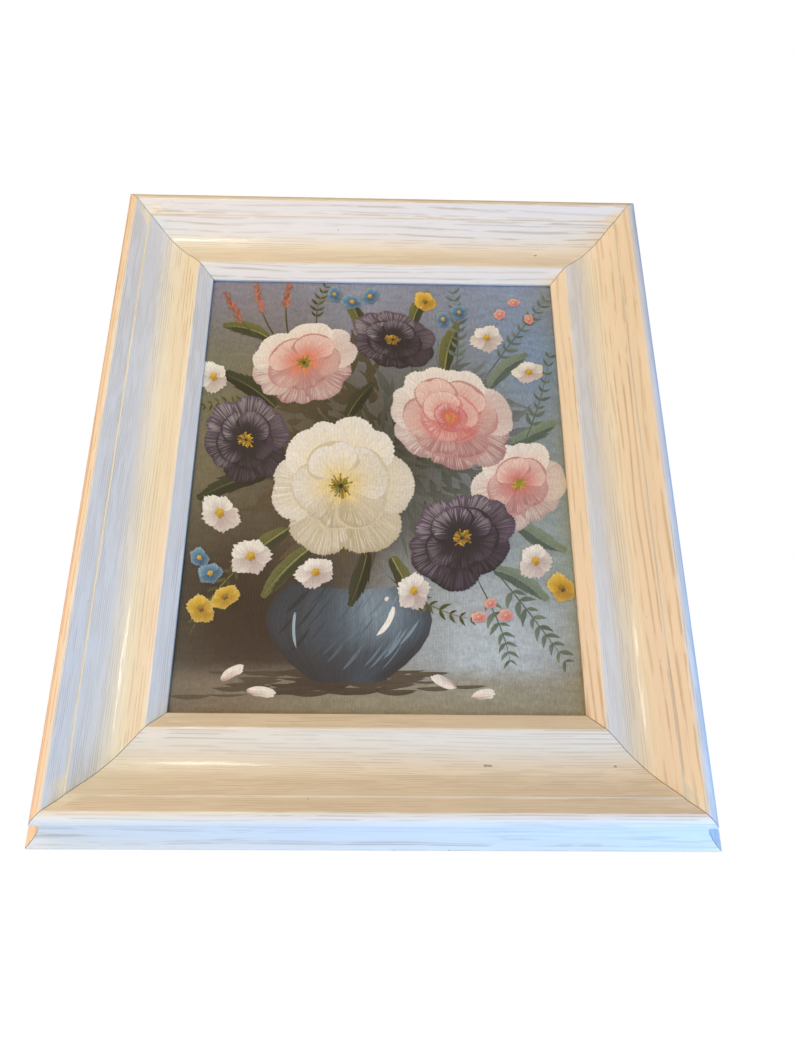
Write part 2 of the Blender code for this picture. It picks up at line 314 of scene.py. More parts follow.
SMALL_BLOSSOMS = {
    "white": ((58, 86), (80, 64), (-80, -22), (-63, -45), (17, -62), (-31, -53), (77, -46), (-90, 58)),
    "blue": ((-17, 109), (-27, 114), (-7, 113), (34, 98), (43, 103), (-88, -46), (-82, -54)),
    "yellow": ((-74, -66), (-85, -72), (89, -60), (24, 110)),
    "pink": ((66, 102), (74, 110), (82, 99), (54, -68), (61, -74), (48, -75)),
}

# Shines on the bowl, from its middle and rim: start, bend and end, then width and colour
BOWL_SHINES = (
    (((14, -26), (20, -20), (21, -12)), 2.6, "white"),
    (((17, -9), (18, -8), (18, -7)), 1.8, "white"),
    (((-25, -32), (-27, -24), (-26, -16)), 1.4, "bowl_light"),
)

# Fallen petals: place, turn and length
FALLEN_PETALS = (
    ((-72.0, -106.0), 0.5, 11.0),
    ((-60.0, -112.0), -0.1, 12.0),
    ((36.0, -108.0), 2.7, 11.0),
    ((44.0, -114.0), 0.2, 10.0),
)
FALLEN_PETAL_STROKES = ((0.0, 4.6, "petal_shade"), (0.7, 3.4, "pale_pink"), (1.2, 2.0, "white"))

# Soft patches of the ground: place, reach, strength and colour
GROUND_SWAY = 0.05
GROUND_PATCHES = (
    (90, 20, 150, 0.95, (146, 166, 182)),
    (-92, 20, 110, 0.90, (128, 120, 96)),
    (-60, -70, 100, 0.95, (62, 50, 38)),
    (0, 14, 92, 0.85, (66, 62, 48)),
    (-84, 120, 85, 0.95, (146, 146, 168)),
    (-8, 124, 80, 0.95, (150, 160, 188)),
    (72, 120, 85, 0.95, (146, 166, 202)),
    (96, 74, 55, 0.85, (128, 162, 206)),
    (-92, 58, 45, 0.75, (130, 132, 108)),
    (54, -90, 85, 0.95, (196, 214, 228)),
    (96, -40, 55, 0.75, (152, 176, 186)),
    (-46, -84, 50, 0.85, (52, 40, 30)),
)

# Rails: the axis that they run along, the axis across them and their edge at the picture
RAILS = {
    "top": {"node": "frame_rail_top", "along": 0, "across": 2, "inner_edge": TOP_LOW.z},
    "bottom": {"node": "frame_rail_bottom", "along": 0, "across": 2, "inner_edge": BOTTOM_HIGH.z},
    "left": {"node": "frame_rail_left", "along": 2, "across": 0, "inner_edge": LEFT_HIGH.x},
    "right": {"node": "frame_rail_right", "along": 2, "across": 0, "inner_edge": RIGHT_LOW.x},
}


class MouldingLook(bpy.types.PropertyGroup):
    wash_colour: FloatVectorProperty(
        name="Wash", description="White wash over the wood", subtype="COLOR", default=(0.80, 0.78, 0.75)
    )
    grain_colour: FloatVectorProperty(
        name="Grain", description="Wood in the open grain", subtype="COLOR", default=(0.50, 0.42, 0.33)
    )
    bare_colour: FloatVectorProperty(
        name="Bare wood", description="Wood on the back", subtype="COLOR", default=(0.56, 0.41, 0.25)
    )
    grain_spacing: FloatProperty(
        name="Grain spacing", description="Distance between two grain lines", default=0.0012, unit="LENGTH"
    )
    grain_sway: FloatProperty(
        name="Grain sway", description="How far the grain lines wander", default=0.005, unit="LENGTH"
    )
    grain_strength: FloatProperty(
        name="Grain strength", description="How much wood a grain line shows", default=0.68, subtype="FACTOR"
    )
    ring_spacing: FloatProperty(
        name="Ring spacing", description="Distance between the rings of a rail", default=0.006, unit="LENGTH"
    )
    unevenness: FloatProperty(
        name="Unevenness", description="Depth of the hand-sanded waves", default=0.00012, unit="LENGTH"
    )


class PaintingLook(bpy.types.PropertyGroup):
    weave_depth: FloatProperty(
        name="Weave depth", description="Height of the canvas threads", default=0.00030, unit="LENGTH"
    )
    # Painted shade in the gaps between the canvas threads
    weave_shade: FloatProperty(
        name="Weave shade", description="How dark the gaps of the weave are", default=0.22, subtype="FACTOR"
    )
    # Painted highlight on the tops of the canvas threads
    weave_glint: FloatProperty(
        name="Weave glint", description="How pale the tops of threads are", default=0.30, subtype="FACTOR"
    )
    streak_shade: FloatProperty(
        name="Streak shade", description="How much bristles streak the paint", default=0.07, subtype="FACTOR"
    )


class StageLook(bpy.types.PropertyGroup):
    camera_lens: FloatProperty(
        name="Lens", description="Focal length of the camera in millimetres", default=29.18
    )
    floor_drop: FloatProperty(
        name="Floor drop", description="Height of the frame over the floor", default=1.2, unit="LENGTH"
    )
    floor_size: FloatProperty(
        name="Floor size", description="Side of the floor", default=3.2, unit="LENGTH"
    )


class Nodes:
    """A material's node tree, with short calls to add and join its nodes."""

    def __init__(self, name):
        self.material = bpy.data.materials.new(name)
        self.material.use_nodes = True
        self.tree = self.material.node_tree
        self.shader = self.tree.nodes["Principled BSDF"]
        self.object_place = self.add("ShaderNodeTexCoord").outputs["Object"]

    def add(self, kind, **settings):
        node = self.tree.nodes.new(kind)
        for key, value in settings.items():
            setattr(node, key, value)
        return node

    def plug(self, value, socket):
        """Joins an output to the socket, or sets the socket's own value."""
        if isinstance(value, bpy.types.NodeSocket):
            self.tree.links.new(value, socket)
        else:
            socket.default_value = value

    def maths(self, operation, *values, clamp=False):
        node = self.add("ShaderNodeMath", operation=operation, use_clamp=clamp)
        for value, socket in zip(values, node.inputs):
            self.plug(value, socket)
        return node.outputs["Value"]

    def placed(self, scale, shift=(0.0, 0.0, 0.0), turn=(0.0, 0.0, 0.0)):
        node = self.add("ShaderNodeMapping")
        self.plug(self.object_place, node.inputs["Vector"])
        node.inputs["Location"].default_value = shift
        node.inputs["Rotation"].default_value = turn
        node.inputs["Scale"].default_value = scale
        return node.outputs["Vector"]

    def noise(self, vector, scale=1.0, detail=2.0, roughness=0.5, distortion=0.0):
        node = self.add("ShaderNodeTexNoise")
        self.plug(vector, node.inputs["Vector"])
        node.inputs["Scale"].default_value = scale
        node.inputs["Detail"].default_value = detail
        node.inputs["Roughness"].default_value = roughness
        node.inputs["Distortion"].default_value = distortion
        return node.outputs["Fac"]

    def ramp(self, value, low, high, start=0.0, end=1.0):
        """The value eased from start to end as it passes from low to high."""
        node = self.add("ShaderNodeMapRange", interpolation_type="SMOOTHSTEP")
        self.plug(value, node.inputs["Value"])
        node.inputs["From Min"].default_value = low
        node.inputs["From Max"].default_value = high
        node.inputs["To Min"].default_value = start
        node.inputs["To Max"].default_value = end
        return node.outputs["Result"]

    def blend(self, factor, first, second, kind="MIX"):
        node = self.add("ShaderNodeMix", data_type="RGBA", blend_type=kind)
        self.plug(factor, node.inputs["Factor"])
        for value, socket in ((first, node.inputs[6]), (second, node.inputs[7])):
            self.plug(value if isinstance(value, bpy.types.NodeSocket) else (*value[:3], 1.0), socket)
        return node.outputs[2]

    def bump(self, height, depth, strength=1.0, under=None):
        node = self.add("ShaderNodeBump")
        self.plug(height, node.inputs["Height"])
        node.inputs["Strength"].default_value = strength
        node.inputs["Distance"].default_value = depth
        if under is not None:
            self.plug(under, node.inputs["Normal"])
        return node.outputs["Normal"]

    def axes(self):
        """The object's own X, Y and Z."""
        node = self.add("ShaderNodeSeparateXYZ")
        self.plug(self.object_place, node.inputs[0])
        return node.outputs

    def lightened(self, colour, amount):
        """The colour, each channel multiplied by the amount."""
        node = self.add("ShaderNodeCombineColor")
        for channel in node.inputs:
            self.plug(amount, channel)
        return self.blend(1.0, colour, node.outputs["Color"], "MULTIPLY")

    def set(self, **values):
        """Gives the shader its values, named as its sockets are, and returns the material."""
        for name, value in values.items():
            self.plug(value, self.shader.inputs[name.replace("_", " ").title().replace("Ior", "IOR")])
        return self.material


def add_object(name, bm, materials, sharp_angle=math.radians(28)):
    mesh = bpy.data.meshes.new(name)
    bm.to_mesh(mesh)
    bm.free()
    for material in materials:
        mesh.materials.append(material)
    mesh.shade_smooth()
    mesh.set_sharp_from_angle(angle=sharp_angle)
    obj = bpy.data.objects.new(name, mesh)
    bpy.context.scene.collection.objects.link(obj)
    return obj


def washed_wood(name, along, shift):
    """White wash over ring-porous wood: long fine grain lines that come and go along the rail."""
    look = bpy.context.scene.moulding_look
    nodes = Nodes(name)
    stretched = {}
    for key, (across_scale, along_scale) in {
        "sway": (26.0, 5.0),
        "breaks": (480.0, 48.0),
        "strength": (90.0, 9.0),
        "fibres": (2600.0, 60.0),
        "drift": (45.0, 9.0),
    }.items():
        scale = [across_scale] * 3
        scale[along] = along_scale
        stretched[key] = nodes.noise(nodes.placed(tuple(scale), shift), detail=2.0)
    axes = nodes.axes()
    level = nodes.maths("ADD", axes[2 - along], nodes.maths("MULTIPLY", axes["Y"], 0.75))
    level = nodes.maths("ADD", level, nodes.maths("MULTIPLY", stretched["sway"], look.grain_sway))
    ripple = nodes.maths("PINGPONG", level, look.grain_spacing / 2)
    line = nodes.ramp(ripple, 0.0, look.grain_spacing * 0.24, 1.0, 0.0)
    second = nodes.maths("PINGPONG", nodes.maths("ADD", level, 0.0003), look.grain_spacing * 0.81)
    line = nodes.maths("MAXIMUM", line, nodes.ramp(second, 0.0, look.grain_spacing * 0.16, 0.8, 0.0))
    broken = nodes.ramp(stretched["breaks"], 0.40, 0.54)
    strength = nodes.ramp(stretched["strength"], 0.34, 0.66, 0.35, 1.0)
    line = nodes.maths("MULTIPLY", line, nodes.maths("MULTIPLY", broken, strength))
    fibres = nodes.ramp(stretched["fibres"], 0.35, 0.75)
    open_grain = nodes.maths("MULTIPLY", line, look.grain_strength)
    open_grain = nodes.maths("ADD", open_grain, nodes.maths("MULTIPLY", fibres, 0.12))
    drift = nodes.ramp(stretched["drift"], 0.3, 0.8, 0.0, 0.10)
    open_grain = nodes.maths("ADD", open_grain, drift, clamp=True)
    colour = nodes.blend(open_grain, look.wash_colour, look.grain_colour)
    specks = nodes.noise(nodes.placed((330.0, 330.0, 330.0), shift), detail=0.0)
    colour = nodes.blend(nodes.ramp(specks, 0.885, 0.90, 0.0, 0.6), colour, linear(74, 62, 52))
    waves = nodes.noise(nodes.placed((60.0, 60.0, 60.0), shift), detail=2.0)
    smooth = nodes.bump(waves, 0.0005, 0.25)
    height = nodes.maths("ADD", line, nodes.maths("MULTIPLY", fibres, 0.25))
    height = nodes.maths("SUBTRACT", 1.0, height)
    return nodes.set(
        base_color=colour,
        roughness=nodes.ramp(open_grain, 0.0, 0.6, 0.42, 0.62),
        normal=nodes.bump(height, 0.00006, 0.8, smooth),
        coat_normal=nodes.bump(height, 0.00003, 0.8, smooth),
        specular_ior_level=0.2,
        coat_weight=0.3,
        coat_ior=1.5,
        coat_roughness=0.08,
    )


def bare_wood(name, along, shift):
    """Unfinished wood on the back of a rail."""
    look = bpy.context.scene.moulding_look
    nodes = Nodes(name)
    scale = [700.0] * 3
    scale[along] = 16.0
    fibre = nodes.noise(nodes.placed(tuple(scale), shift), detail=4.0, roughness=0.65)
    scale = [70.0] * 3
    scale[along] = 4.0
    rings = nodes.noise(nodes.placed(tuple(scale), shift), detail=2.0, distortion=0.8)
    dark = tuple(channel * 0.62 for channel in look.bare_colour)
    colour = nodes.blend(nodes.ramp(rings, 0.35, 0.65), look.bare_colour, dark)
    colour = nodes.blend(nodes.ramp(fibre, 0.35, 0.75, 0.0, 0.45), colour, dark)
    return nodes.set(base_color=colour, roughness=0.75, normal=nodes.bump(fibre, 0.0001, 0.5))


def mitre_section(bm, spec):
    """Leaves only the flat section that the CAD rail shows at one mitre."""
    along, across = spec["along"], spec["across"]
    bm.from_mesh(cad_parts[spec["node"]].data)
    bmesh.ops.remove_doubles(bm, verts=bm.verts, dist=1e-6)
    mitre_faces = [
        face for face in bm.faces if face.normal[along] < -0.5 and abs(face.normal[across]) > 0.5
    ]
    joined = bmesh.ops.dissolve_faces(bm, faces=mitre_faces)["region"]
    section = max(joined, key=lambda face: face.calc_area())
    bmesh.ops.delete(bm, geom=[face for face in bm.faces if face is not section], context="FACES")
    return section


def draw_out(bm, section, spec):
    """Draws the section out in even rings, from one mitre to the other."""
    look = bpy.context.scene.moulding_look
    along = spec["along"]
    low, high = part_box(spec["node"])
    steps = 2 * int((high[along] - low[along]) / look.ring_spacing / 2) + 1
    middle = CENTRE[along]
    front = section
    for step in range(steps):
        drawn = bmesh.ops.extrude_face_region(bm, geom=[front])["geom"]
        if step > 0:
            bmesh.ops.delete(bm, geom=[front], context="FACES_ONLY")
        front = next(item for item in drawn if isinstance(item, bmesh.types.BMFace))
        towards_far_end = (steps - 2 * step - 2) / (steps - 2 * step)
        for vert in front.verts:
            vert.co[along] = middle + (vert.co[along] - middle) * towards_far_end
    bmesh.ops.recalc_face_normals(bm, faces=bm.faces)
    bm.normal_update()


def sand_unevenly(bm, spec):
    """Shallow waves on the front of the moulding, which fade out before a mitre."""
    look = bpy.context.scene.moulding_look
    along, across = spec["along"], spec["across"]
    middle = CENTRE[along]
    half_sight = (SIGHT_HIGH[along] - SIGHT_LOW[along]) / 2
    moves = []
    for vert in bm.verts:
        if vert.co.y > -REBATE_DEPTH - REBATE_CLEARANCE and vert.normal.y > -0.05:
            continue
        from_sight = abs(vert.co[across] - spec["inner_edge"])
        to_mitre = half_sight + from_sight - abs(vert.co[along] - middle)
        fade = min(1.0, max(0.0, to_mitre - MITRE_MARGIN) / MITRE_FADE)
        outward = vert.normal.copy()
        outward[along] = 0.0
        spot = vert.co.copy()
        spot[along] *= 28.0
        spot[across] *= 160.0
        spot.y *= 160.0
        wave = noise.noise(spot + Vector((11.0, 5.0, 3.0)) * (along + 1))
        moves.append((vert, outward.normalized() * look.unevenness * fade * (0.5 + 0.5 * wave)))
    for vert, move in moves:
        vert.co -= move


def leave_back_bare(bm, spec):
    """Gives the back and the wall of the rebate the second material."""
    for face in bm.faces:
        inset = abs(face.calc_center_median()[spec["across"]] - spec["inner_edge"])
        behind = face.calc_center_median().y > -REBATE_DEPTH - REBATE_CLEARANCE
        on_back = behind and face.normal.y > 0.5
        on_rebate_wall = behind and abs(inset - REBATE_WIDTH) < REBATE_CLEARANCE
        face.material_index = 1 if on_back or on_rebate_wall else 0


def build_rail(side, spec):
    """A smooth, slightly uneven length of moulding, drawn out from the CAD rail's own mitre face."""
    bm = bmesh.new()
    draw_out(bm, mitre_section(bm, spec), spec)
    sand_unevenly(bm, spec)
    leave_back_bare(bm, spec)
    along = spec["along"]
    shift = (0.37 * along, 0.21, 0.13 * (1 + len(side)))
    rail = add_object(
        "washed_rail_" + side,
        bm,
        [washed_wood("washed_wood_" + side, along, shift), bare_wood("bare_wood_" + side, along, shift)],
    )
    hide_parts(spec["node"])
    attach(rail, "root")


class PAINTING_OT_moulding(bpy.types.Operator):
    """Build the four mitred rails in washed wood"""

    bl_idname = "painting.moulding"
    bl_label = "Moulding"

    def execute(self, context):
        for side, spec in RAILS.items():
            build_rail(side, spec)
        return {"FINISHED"}


def weave_height(nodes):
    """A plain weave: threads that go over and under each other, the upright ones the thicker."""
    axes = nodes.axes()
    drift = nodes.noise(nodes.placed((70.0, 70.0, 70.0)), detail=2.0)
    turns = {}
    for axis, share in (("X", 1.1), ("Z", 1.7)):
        place = nodes.maths("ADD", axes[axis], nodes.maths("MULTIPLY", drift, THREAD * share))
        turns[axis] = nodes.maths("MULTIPLY", place, math.pi / THREAD)
    crossing = nodes.maths("MULTIPLY", nodes.maths("COSINE", turns["X"]), nodes.maths("COSINE", turns["Z"]))
    threads = []
    for axis, share, side in (("X", 1.0, 0.35), ("Z", 0.8, -0.35)):
        ridge = nodes.maths("ABSOLUTE", nodes.maths("SINE", turns[axis]))
        over = nodes.maths("ADD", nodes.maths("MULTIPLY", crossing, side), 0.65)
        threads.append(nodes.maths("MULTIPLY", nodes.maths("MULTIPLY", ridge, over), share))
    slubs = nodes.noise(nodes.placed((1300.0, 1300.0, 420.0)), detail=2.0)
    return nodes.maths("ADD", nodes.maths("MAXIMUM", *threads), nodes.maths("MULTIPLY", slubs, 0.9))


def painted_shade_between_threads(nodes, woven, colour):
    """The colour, with painted shade darkening the gaps between the threads."""
    look = bpy.context.scene.painting_look
    return nodes.blend(nodes.ramp(woven, 0.75, 1.3, look.weave_shade, 0.0), colour, linear(30, 26, 22))


def ground_patches(nodes):
    """Broad soft patches of colour that run into each other."""
    sway = nodes.add("ShaderNodeTexNoise")
    nodes.plug(nodes.placed((11.0, 11.0, 11.0), (0.4, 0.1, 0.9)), sway.inputs["Vector"])
    sway.inputs["Scale"].default_value = 1.0
    sway.inputs["Detail"].default_value = 3.0
    shift = nodes.add("ShaderNodeVectorMath", operation="MULTIPLY_ADD")
    nodes.plug(sway.outputs["Color"], shift.inputs[0])
    shift.inputs[1].default_value = (GROUND_SWAY, 0.0, GROUND_SWAY)
    nodes.plug(nodes.object_place, shift.inputs[2])
    colour = linear(118, 112, 104)
    for x, y, reach, share, tone in GROUND_PATCHES:
        spot = CENTRE + Vector((x / 1000 + GROUND_SWAY / 2, 0.0, y / 1000 + GROUND_SWAY / 2))
        gap = nodes.add("ShaderNodeVectorMath", operation="DISTANCE")
        nodes.plug(shift.outputs["Vector"], gap.inputs[0])
        gap.inputs[1].default_value = (spot.x, PANEL_LOW.y, spot.z)
        amount = nodes.ramp(gap.outputs["Value"], 0.0, reach / 1000, share, 0.0)
        colour = nodes.blend(amount, colour, linear(*tone))
    return colour


def with_table(nodes, colour, strokes):
    """The colour, with the pale table along the foot of the picture."""
    axes = nodes.axes()
    table_line = nodes.maths("ADD", axes["Z"], nodes.maths("MULTIPLY", strokes, 0.008))
    table_top = CENTRE.z + TABLE_LINE / 1000
    on_table = nodes.ramp(table_line, table_top - 0.007, table_top + 0.006, 0.9, 0.0)
    to_right = nodes.ramp(axes["X"], -0.085, 0.0)
    table = nodes.blend(to_right, linear(138, 128, 116), linear(158, 158, 142))
    return nodes.blend(on_table, colour, table)


def with_raw_back(nodes, colour):
    """The colour, with the bare board and the canvas folded over its edges at the back."""
    axes = nodes.axes()
    behind = nodes.ramp(axes["Y"], PANEL_LOW.y + 0.0002, PANEL_LOW.y + 0.0006)
    half = (PANEL_HIGH - PANEL_LOW) / 2
    from_sides = []
    for axis, middle, reach in (("X", CENTRE.x, half.x), ("Z", CENTRE.z, half.z)):
        offset = nodes.maths("ABSOLUTE", nodes.maths("SUBTRACT", axes[axis], middle))
        from_sides.append(nodes.maths("SUBTRACT", reach, offset))
    inside = nodes.ramp(nodes.maths("MINIMUM", *from_sides), TURNOVER - 0.0003, TURNOVER + 0.0003)
    back = nodes.blend(inside, linear(206, 196, 176), linear(150, 132, 108))
    return nodes.blend(behind, colour, back)


def painted_ground():
    """The painted ground, mottled by the brush, over the canvas weave."""
    look = bpy.context.scene.painting_look
    nodes = Nodes("painted_ground")
    slanted = nodes.placed((90.0, 90.0, 260.0), turn=(0.0, 0.7, 0.0))
    strokes = nodes.noise(slanted, detail=3.0, roughness=0.6)
    colour = with_table(nodes, ground_patches(nodes), strokes)
    mottle = nodes.ramp(strokes, 0.3, 0.7, 0.92, 1.08)
    fine = nodes.ramp(nodes.noise(nodes.placed((700.0, 700.0, 700.0)), detail=2.0), 0.3, 0.7, 0.93, 1.07)
    colour = nodes.lightened(colour, nodes.maths("MULTIPLY", mottle, fine))
    woven = weave_height(nodes)
    # Painted shade in the gaps between the threads
    colour = painted_shade_between_threads(nodes, woven, colour)
    # Painted highlight: the tops of the threads made paler, as if catching the light
    colour = nodes.blend(nodes.ramp(woven, 1.2, 1.75, 0.0, look.weave_glint), colour, linear(188, 178, 158))
    under = nodes.bump(strokes, 0.0003, 0.25)
    return nodes.set(
        base_color=with_raw_back(nodes, colour),
        roughness=0.36,
        normal=nodes.bump(woven, look.weave_depth, 1.0, under),
    )


def oil_paint(name):
    """Oil paint as the strokes carry it: bristle streaks along each stroke, over the canvas weave."""
    look = bpy.context.scene.painting_look
    nodes = Nodes(name)
    paint = nodes.add("ShaderNodeAttribute", attribute_name="paint")
    trail = nodes.add("ShaderNodeAttribute", attribute_name="trail")
    stretch = nodes.add("ShaderNodeVectorMath", operation="MULTIPLY")
    nodes.plug(trail.outputs["Vector"], stretch.inputs[0])
    stretch.inputs[1].default_value = (0.16, 3.2, 1.0)
    streaks = nodes.noise(stretch.outputs["Vector"], detail=2.0, roughness=0.6)
    light = nodes.ramp(streaks, 0.3, 0.7, 1.0 - look.streak_shade, 1.0 + look.streak_shade)
    colour = nodes.lightened(paint.outputs["Color"], light)
    woven = weave_height(nodes)
    # Painted shade in the gaps between the threads
    colour = painted_shade_between_threads(nodes, woven, colour)
    under = nodes.bump(streaks, 0.00012, 0.6)
    return nodes.set(
        base_color=colour,
        roughness=0.42,
        normal=nodes.bump(woven, look.weave_depth * 0.8, 1.0, under),
    )


def plated_steel():
    """Thin bright plating with fine rolling marks."""
    nodes = Nodes("plated_steel")
    marks = nodes.noise(nodes.placed((300.0, 2400.0, 2400.0)), detail=2.0)
    colour = nodes.blend(nodes.ramp(marks, 0.3, 0.7), linear(196, 196, 190), linear(170, 168, 160))
    return nodes.set(
        base_color=colour,
        metallic=1.0,
        roughness=nodes.ramp(marks, 0.3, 0.7, 0.28, 0.42),
        normal=nodes.bump(marks, 0.00003, 0.5),
    )


class Brush:
    """Lays thin strokes of paint over each other. Places are millimetres from the middle of the opening."""

    def __init__(self, seed, first_height):
        self.random = random.Random(seed)
        self.first_height = first_height
        self.strokes = []

    def stroke(self, start, bend, end, width, stops, ragged=0.08, taper=(0.35, 0.15), shade=0.06):
        """A stroke from start to end, pulled towards bend, with its colours along it."""
        rnd = self.random
        curve = Vector(start), Vector(bend), Vector(end)
        frays = [
            (rnd.uniform(-ragged, ragged), rnd.uniform(-ragged, ragged)) for _ in range(STROKE_WIDTHS + 1)
        ]
        lightness = 1.0 + rnd.uniform(-shade, shade)
        self.strokes.append((curve, width, stops, frays, taper, lightness, rnd.random() * 40.0))

    def dab(self, centre, size, colour, turn=0.0, slender=0.8):
        """A short round touch of the brush."""
        reach = turned(turn, size / 2)
        centre = Vector(centre)
        self.stroke(centre - reach, centre, centre + reach, size * slender, [colour] * 2, taper=(0.5, 0.5))

    def lay(self, verts, paint, trail, order):
        """Moves one small grid to where a stroke lies."""
        (start, bend, end), width, stops, frays, taper, lightness, seed = self.strokes[order]
        length = (bend - start).length + (end - bend).length
        height = self.first_height + order * STROKE_STEP
        for vert in verts:
            along, across = vert.co.x + 0.5, vert.co.y * 2.0
            fray_start, fray_end = frays[round((vert.co.y + 0.5) * STROKE_WIDTHS)]
            place = along + fray_start * (1.0 - along) + fray_end * along
            curve = along_curve(start, bend, end, place)
            slope = slope_of_curve(start, bend, end, place)
            side = Vector((-slope.y, slope.x)).normalized()
            swell = min(1.0, (along + 0.06) / taper[0]) * min(1.0, (1.06 - along) / taper[1])
            spot = curve + side * across * width * 0.5 * math.sin(min(1.0, swell) * math.pi / 2)
            spot.x = max(-PAINT_REACH[0], min(PAINT_REACH[0], spot.x))
            spot.y = max(-PAINT_REACH[1], min(PAINT_REACH[1], spot.y))
            vert.co = (CENTRE.x + spot.x / 1000, PANEL_LOW.y - height, CENTRE.z + spot.y / 1000)
            vert[paint] = (*(channel * lightness for channel in stops_colour(stops, place)), 1.0)
            vert[trail] = (along * length, across * width * 0.5, seed)

    def finish(self, name, material):
        """Makes the piece: one small grid, copied for every stroke and then laid along it."""
        bm = bmesh.new()
        paint = bm.verts.layers.float_color.new("paint")
        trail = bm.verts.layers.float_vector.new("trail")
        bmesh.ops.create_grid(bm, x_segments=STROKE_LENGTHS, y_segments=STROKE_WIDTHS, size=0.5)
        bmesh.ops.rotate(bm, verts=bm.verts, matrix=Matrix.Rotation(math.pi, 3, "X"))
        one = len(bm.verts), len(bm.edges), len(bm.faces)
        made = 1
        while made < len(self.strokes):
            more = min(made, len(self.strokes) - made)
            geom = [*list(bm.verts)[: more * one[0]], *list(bm.edges)[: more * one[1]]]
            geom += list(bm.faces)[: more * one[2]]
            bmesh.ops.duplicate(bm, geom=geom)
            made += more
        verts = list(bm.verts)
        for order in range(made):
            self.lay(verts[order * one[0] : (order + 1) * one[0]], paint, trail, order)
        bm.normal_update()
        piece = add_object(name, bm, [material])
        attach(piece, "root")


def petal_shoulder(across):
    """How far out a petal's rim lies across it, rounded off towards its two sides."""
    return 1.0 - 0.26 * abs(across) ** 2.8


